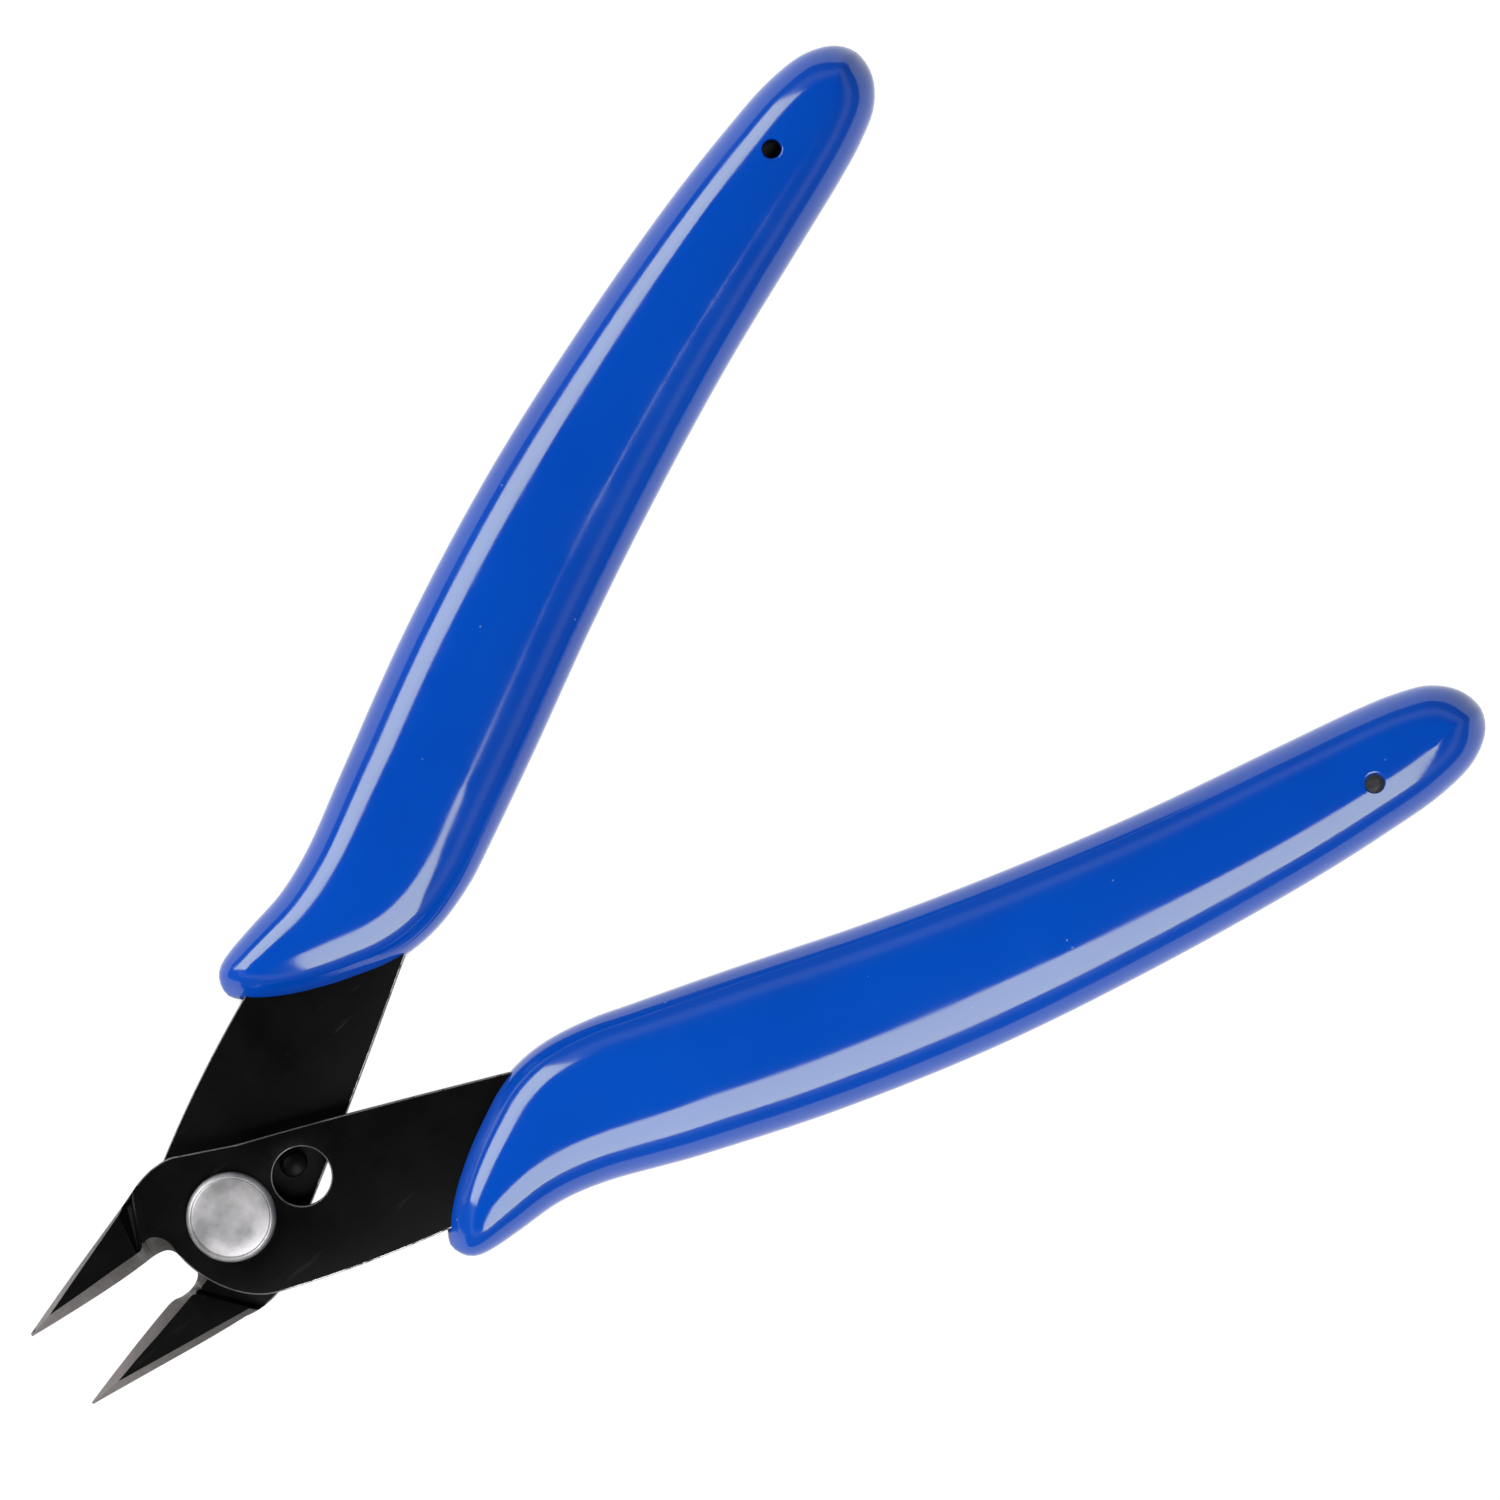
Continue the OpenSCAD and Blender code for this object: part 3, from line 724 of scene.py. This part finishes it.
def grip(name, front, mid_z, half_t):
    """A moulded sleeve with a crowned section, its hanging hole and the pocket for the tang."""
    inner = smooth_path(GRIP_INNER, SIDE_STEP, GRIP_OUTER[1], GRIP_OUTER[-2])
    outer = smooth_path(GRIP_OUTER, SIDE_STEP, GRIP_INNER[1], GRIP_INNER[-2])
    inner, outer = (even(seated(path, front), SIDE_POINTS) for path in (inner, outer))
    hang = seated([HANG_POS], front)

    def edge_distance(p, path):
        """Distance of each point from a path, and the nearest point on it."""
        a, b = path[:-1], path[1:]
        d = b - a
        length = np.sum(d * d, axis=1)
        away = np.empty(len(p))
        near = np.empty((len(p), 2))
        for k in range(0, len(p), 500):
            q = p[k:k + 500][:, None, :]
            t = np.clip(np.sum((q - a) * d, axis=2) / length, 0, 1)
            at = a + t[..., None] * d
            gap = np.linalg.norm(q - at, axis=2)
            best = np.argmin(gap, axis=1)
            rows = np.arange(len(best))
            away[k:k + 500] = gap[rows, best]
            near[k:k + 500] = at[rows, best]
        return away, near

    def inset(p):
        """Distance from the outline, rounded off where both sides are near.

        At the rounded end it is rounded off only as far as the two sides face each other.
        """
        d1, near1 = edge_distance(p, inner)
        d2, near2 = edge_distance(p, outer)
        e1 = np.exp(-d1 / BLEND_LEN)
        e2 = np.exp(-d2 / BLEND_LEN)
        soft = -BLEND_LEN * np.log(np.clip(e1 + e2 - e1 * e2, 1e-9, 1))
        opposite = np.clip(np.linalg.norm(near1 - near2, axis=1) / (d1 + d2 + 1e-9), 0, 1) ** 2
        opposite = np.where(p[:, 0] < END_ROUND_X, 1, opposite)
        return np.minimum(d1, d2) * (1 - opposite) + soft * opposite

    def height(p):
        """Height of the upper surface over the grip's middle plane."""
        x = p[:, 0]
        d = inset(p)
        thick = half_t * np.interp(x, *THICKNESS)
        k = np.clip(d / np.interp(x, *CROWN_WIDTH), 0, 1)
        h = thick * (1 - (1 - k) ** CROWN_POWER) ** 0.5
        groove = np.interp(x, *GROOVE_STRENGTH) * (edge_distance(p, inner)[0] < GROOVE_SIDE)
        return h - GROOVE_DEPTH * groove * np.exp(-((d - GROOVE_INSET) / GROOVE_WIDTH) ** 2)

    # Rings of points from the outline in to a spine that stops short of both ends, closer at the outline
    mid = (inner + outer) / 2
    first, last = SPINE_START, SIDE_POINTS - SPINE_STOP
    spine_of = np.clip(np.arange(SIDE_POINTS + 1), first, last)
    loop = np.vstack([inner, outer[-2:0:-1]])
    spine_index = np.concatenate([spine_of, spine_of[-2:0:-1]])
    count = len(loop)
    plan = []
    for k in range(RINGS):
        t = 1 - math.cos(math.pi / 2 * k / RINGS)
        t = 0.85 * t + 0.15 * k / RINGS
        plan.append(loop * (1 - t) + mid[spine_index] * t)
    plan.append(mid[first:last + 1])
    flat = np.vstack(plan)
    h = height(flat)
    h[:count] = 0
    n = len(flat)
    top = np.column_stack([flat, h])
    below = np.column_stack([flat, -h])
    verts = np.vstack([top, below[count:]])

    def ids(k, side):
        """Vertices of ring k on the top (0) or bottom (1)."""
        if k == RINGS:
            base = RINGS * count + (spine_index - first)
        else:
            base = k * count + np.arange(count)
        return base if side == 0 or k == 0 else base + n - count

    faces = []
    for side in (0, 1):
        for k in range(RINGS):
            a, b = ids(k, side), ids(k + 1, side)
            for i in range(count):
                j = (i + 1) % count
                face = list(dict.fromkeys([a[i], a[j], b[j], b[i]]))
                if len(face) > 2:
                    faces.append(face if side == 0 else face[::-1])
    verts[:, 2] += mid_z
    piece = mesh_piece(name, place(verts, front), faces, [BLUE])

    # Hanging hole with softly rolled rims
    rim = float(height(hang)[0])
    above, skim, cutter_r = rim + 2, rim + 0.02, HANG_R + 0.35
    profile = [(0, above), (cutter_r, above), (cutter_r, skim)]
    profile += [(HANG_R + HANG_ROLL - HANG_ROLL * math.sin(a), skim - HANG_ROLL_DEPTH * (1 - math.cos(a)))
                for a in np.linspace(0.15, math.pi / 2, 6)]
    profile += [(r, -z) for r, z in profile[::-1]]
    pin_verts, pin_faces = lathe(profile, 40)
    pin_verts += np.array([*hang[0], mid_z])
    pin = mesh_piece("hang_cutter", place(pin_verts, front), pin_faces, [BLUE])

    # Pocket for the lever's tang
    tang = tang_outline()
    m = len(tang)
    tang_verts = np.vstack([np.column_stack([tang, np.full(m, mid_z + s * PLATE / 2)]) for s in (1, -1)])
    tang_faces = [list(range(m)), list(range(2 * m - 1, m - 1, -1))]
    tang_faces += [[i, (i + 1) % m, m + (i + 1) % m, m + i] for i in range(m)]
    pocket = mesh_piece("tang_cutter", place(tang_verts, front), tang_faces, [BLUE])
    bpy.context.view_layer.update()
    for cutter in (pin, pocket):
        cut = piece.modifiers.new("cut", "BOOLEAN")
        cut.operation = "DIFFERENCE"
        cut.solver = "EXACT"
        cut.object = cutter
    evaluated = piece.evaluated_get(bpy.context.evaluated_depsgraph_get())
    done = bpy.data.meshes.new_from_object(evaluated)
    piece.modifiers.clear()
    piece.data = done
    for cutter in (pin, pocket):
        bpy.data.objects.remove(cutter)
    for f in done.polygons:
        f.use_smooth = True
    done.set_sharp_from_angle(angle=math.radians(38))
    return piece


front_sleeve = grip("front_grip_sleeve", True, (GRIP_LOW.z + GRIP_HIGH.z) / 2,
                    (GRIP_HIGH.z - GRIP_LOW.z) / 2)
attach(front_sleeve, "front_half")
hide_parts("front_grip")

rear_sleeve = grip("rear_grip_sleeve", False, (REAR_GRIP_LOW.z + REAR_GRIP_HIGH.z) / 2,
                   (REAR_GRIP_HIGH.z - REAR_GRIP_LOW.z) / 2)
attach(rear_sleeve, "rear_half")
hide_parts("rear_grip")

# ---------------------------------------------------------------- rivet, washer and stop pin

head_r = HEAD_HIGH.x
head_top = HEAD_HIGH.z
head_foot = FRONT_HIGH.z
# The face's edge, a thin rolled groove inside the rim, and the rim: (distance in from the side, depth)
HEAD_STEPS = [(0.56, 0.03), (0.5, 0.06), (0.45, 0.12), (0.41, 0.1), (0.36, 0.06), (0.3, 0.09), (0.12, 0.28),
              (0.04, 0.45), (0, 0.65)]
profile = [(0, head_top), (head_r * 0.5, head_top - 0.015)]
profile += [(head_r - inset, head_top - depth) for inset, depth in HEAD_STEPS]
profile += [(head_r, head_foot + 0.08), (head_r - 0.08, head_foot), (SHANK_R, head_foot)]
profile += [(SHANK_R, HEAD_LOW.z + 0.22), (SHANK_R - 0.07, HEAD_LOW.z + 0.07)]
profile += [(SHANK_R - 0.25, HEAD_LOW.z), (0, HEAD_LOW.z)]
verts, faces = lathe(profile, 144)
rivet = mesh_piece("rivet", verts * MM, faces, [RIVET])
rivet.data.set_sharp_from_angle(angle=math.radians(30))
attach(rivet, "front_half")
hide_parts("pivot_rivet")

washer_r = WASHER_HIGH.x
washer_bore = SHANK_R + 0.01
# The washer's rounded lower edge: (distance in from the side, height)
WASHER_STEPS = [(0.5, 0.0), (0.36, 0.03), (0.12, 0.2), (0.03, 0.34), (0, 0.5)]
profile = [(washer_bore, 0.0)]
profile += [(washer_r - inset, z) for inset, z in WASHER_STEPS]
profile += [(washer_r, WASHER_HIGH.z), (washer_bore, WASHER_HIGH.z), (washer_bore, 0.0)]
verts, faces = lathe(profile, 120)
washer = mesh_piece("washer", verts * MM, faces, [RIVET])
washer.data.set_sharp_from_angle(angle=math.radians(30))
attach(washer, "front_half")
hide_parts("rivet_washer")

pin_r = (PIN_HIGH.y - PIN_LOW.y) / 2
pin_at = Vector(((PIN_LOW.x + PIN_HIGH.x) / 2, (PIN_LOW.y + PIN_HIGH.y) / 2))
profile = [(0, PIN_HIGH.z)]
dome_r = 1.9
dome_angles = np.linspace(0.08, math.asin(pin_r / dome_r) * 0.96, 9)
profile += [(dome_r * math.sin(a), PIN_HIGH.z - dome_r * (1 - math.cos(a))) for a in dome_angles]
dome_edge_z = profile[-1][1] - 0.12
pin_chamfer = 0.15
profile += [(pin_r, dome_edge_z), (pin_r, PIN_LOW.z + pin_chamfer), (pin_r - pin_chamfer, PIN_LOW.z)]
profile += [(0, PIN_LOW.z)]
verts, faces = lathe(profile, 64)
verts += np.array([pin_at.x, pin_at.y, 0])
pin = mesh_piece("stop_pin_domed", verts * MM, faces, [BLACK])
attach(pin, "rear_half")
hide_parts("stop_pin")

# ---------------------------------------------------------------- return spring

HOOK_BEND_R = 0.6
BOW_STEPS = 60
TUBE_END_SHARE = 0.7
TUBE_END_LEN = 0.08
wire_z = WASHER_HIGH.z / 2
hook_r = math.hypot(*HOOK_POS)
hook_angle = math.atan2(HOOK_POS[1], HOOK_POS[0]) - HALF_OPEN
bow_start = hook_angle - math.acos(BOW_R / hook_r)


def spring_path():
    """Centre line of the wire from the rear lever's hook round the washer to the front lever's hook."""
    def leg(side, top_z):
        """The wire from the bow's end to the hook and up into the lever, on one side."""
        hook = np.array([hook_r * math.cos(hook_angle), side * hook_r * math.sin(hook_angle)])
        start = np.array([BOW_R * math.cos(bow_start), side * BOW_R * math.sin(bow_start)])
        along = (hook - start) / np.linalg.norm(hook - start)
        corner = hook - along * HOOK_BEND_R
        points = [(*(start + (corner - start) * t), wire_z) for t in np.linspace(0, 1, 14)[1:]]
        for a in np.linspace(0, math.pi / 2, 9)[1:]:
            p = corner + along * HOOK_BEND_R * math.sin(a)
            points.append((p[0], p[1], wire_z + HOOK_BEND_R * (1 - math.cos(a))))
        points += [(hook[0], hook[1], z) for z in np.linspace(wire_z + HOOK_BEND_R, top_z, 4)[1:]]
        return points

    front_top = SPRING_HIGH.z
    rear_top = WASHER_HIGH.z + (SPRING_HIGH.z - JOINT_Z)
    turn = 2 * math.pi + 2 * bow_start
    angles = [-bow_start + turn * i / BOW_STEPS for i in range(BOW_STEPS + 1)]
    bow = [(BOW_R * math.cos(a), BOW_R * math.sin(a), wire_z) for a in angles]
    return np.array(leg(-1, rear_top)[::-1] + bow + leg(1, front_top))


def tube(path, radius, sides):
    """Vertices and faces of a round wire along a path, with its ends slightly rounded."""
    tangent = np.gradient(path, axis=0)
    tangent /= np.linalg.norm(tangent, axis=1)[:, None]
    across = np.cross(tangent[0], (0.3, 0.9, 0.2))
    rings = []
    for p, t in zip(path, tangent):
        across = across - t * np.dot(across, t)
        across /= np.linalg.norm(across)
        rings.append((p, across, np.cross(t, across), radius))
    end_r = radius * TUBE_END_SHARE
    first_p, first_u, first_v, _ = rings[0]
    last_p, last_u, last_v, _ = rings[-1]
    rings.insert(0, (first_p - tangent[0] * TUBE_END_LEN, first_u, first_v, end_r))
    rings.append((last_p + tangent[-1] * TUBE_END_LEN, last_u, last_v, end_r))
    turns = np.arange(sides) * 2 * math.pi / sides
    verts = [p + r * (math.cos(a) * u + math.sin(a) * v) for p, u, v, r in rings for a in turns]
    faces = []
    for k in range(len(rings) - 1):
        for i in range(sides):
            j = (i + 1) % sides
            faces.append((k * sides + i, k * sides + j, (k + 1) * sides + j, (k + 1) * sides + i))
    faces.append(tuple(range(sides))[::-1])
    faces.append(tuple(range(len(verts) - sides, len(verts))))
    return np.array(verts), faces


verts, faces = tube(spring_path(), WIRE_R, 20)
spring = mesh_piece("spring_wire_bent", verts * MM, faces, [WIRE])
spring.data.set_sharp_from_angle(angle=math.radians(40))
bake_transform(spring)
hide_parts("return_spring")

# ---------------------------------------------------------------- floor, lights and camera

FLOOR_Z = cad_low.z
FLOOR_R = 3
FLOOR_SIDES = 64


def floor():
    """A round floor under the object, pale because it glows, with painted shadow where the object covers it.
    """
    material, tree, shader = nodes_of("studio_floor", Roughness=0.7)
    at = object_place(tree)
    tone = noise(tree, at, 6, 3)
    tree.links.new(mix(tree, tone, (0.05, 0.05, 0.05), (0.06, 0.06, 0.06)), shader.inputs["Base Color"])
    shader.inputs["Emission Color"].default_value = (1, 1, 1, 1)
    # The floor glows except where the object covers it closely, and still glows under the high plates
    wide = add(tree, "ShaderNodeAmbientOcclusion", {"Distance": 0.008}, samples=64).outputs["AO"]
    near = add(tree, "ShaderNodeAmbientOcclusion", {"Distance": 0.0034}, samples=32).outputs["AO"]
    open_widely = ramp(tree, wide, (0.41, 0.0), (0.47, 1.0))
    open_nearby = ramp(tree, near, (0.88, 0.0), (0.94, 1.0))
    tree.links.new(maths(tree, "MAXIMUM", open_widely, open_nearby), shader.inputs["Emission Strength"])
    shader.inputs["Specular IOR Level"].default_value = 0.1
    turns = [i * 2 * math.pi / FLOOR_SIDES for i in range(FLOOR_SIDES)]
    verts = [(0, 0, FLOOR_Z)] + [(FLOOR_R * math.cos(a), FLOOR_R * math.sin(a), FLOOR_Z) for a in turns]
    faces = [(0, 1 + i, 1 + (i + 1) % FLOOR_SIDES) for i in range(FLOOR_SIDES)]
    piece = mesh_piece("floor", verts, faces, [material])


floor()

IMAGE_TURN = math.radians(-42)
LIGHT_DISTANCE = 1.0
RADIANCE = 6.5


def softbox(name, azimuth, tilt, wide, tall):
    """A soft rectangular light, wide by tall metres.

    Azimuth is in the picture, from its right side, and tilt is from straight up.
    """
    a = math.radians(azimuth) + IMAGE_TURN
    t = math.radians(tilt)
    away = Vector((math.cos(a) * math.sin(t), math.sin(a) * math.sin(t), math.cos(t)))
    data = bpy.data.lights.new(name, "AREA")
    data.shape = "RECTANGLE"
    data.size = wide
    data.size_y = tall
    data.energy = RADIANCE * math.pi * wide * tall
    light = bpy.data.objects.new(name, data)
    light.location = Vector(((cad_low.x + cad_high.x) / 2, 0, 0)) + away * LIGHT_DISTANCE
    light.rotation_euler = (-away).to_track_quat("-Z", "Y").to_euler()
    light.visible_camera = False
    bpy.context.scene.collection.objects.link(light)


softbox("key_softbox", 154, 58, 0.86, 0.55)
softbox("side_softbox", -65, 39, 0.6, 0.75)

# A dim sky with a brighter band all round, about 30 degrees up
world = bpy.data.worlds.new("studio")
bpy.context.scene.world = world
world.use_nodes = True
tree = world.node_tree
background = tree.nodes["Background"]
up = add(tree, "ShaderNodeSeparateXYZ", {0: add(tree, "ShaderNodeTexCoord").outputs["Generated"]}).outputs[2]
sky = ramp(tree, up, (0.0, 0.1), (0.3, 0.12), (0.42, 0.5), (0.54, 0.5), (0.66, 0.1), (0.8, 0.03))
tree.links.new(sky, background.inputs["Color"])
background.inputs["Strength"].default_value = 0.9

VIEW_WIDTH = 0.125
VIEW_MIDDLE_X = 0.05817
CAMERA_DISTANCE = 1.0
SENSOR_WIDTH = 36
camera_data = bpy.data.cameras.new("camera")
camera_data.sensor_width = SENSOR_WIDTH
camera_data.lens = SENSOR_WIDTH * CAMERA_DISTANCE / VIEW_WIDTH
camera_data.clip_start = 0.01
camera = bpy.data.objects.new("camera", camera_data)
camera.location = (VIEW_MIDDLE_X, 0, FRONT_HIGH.z * MM + CAMERA_DISTANCE)
camera.rotation_euler = (0, 0, IMAGE_TURN)
bpy.context.scene.collection.objects.link(camera)
bpy.context.scene.camera = camera
bpy.context.scene.view_settings.view_transform = "Standard"
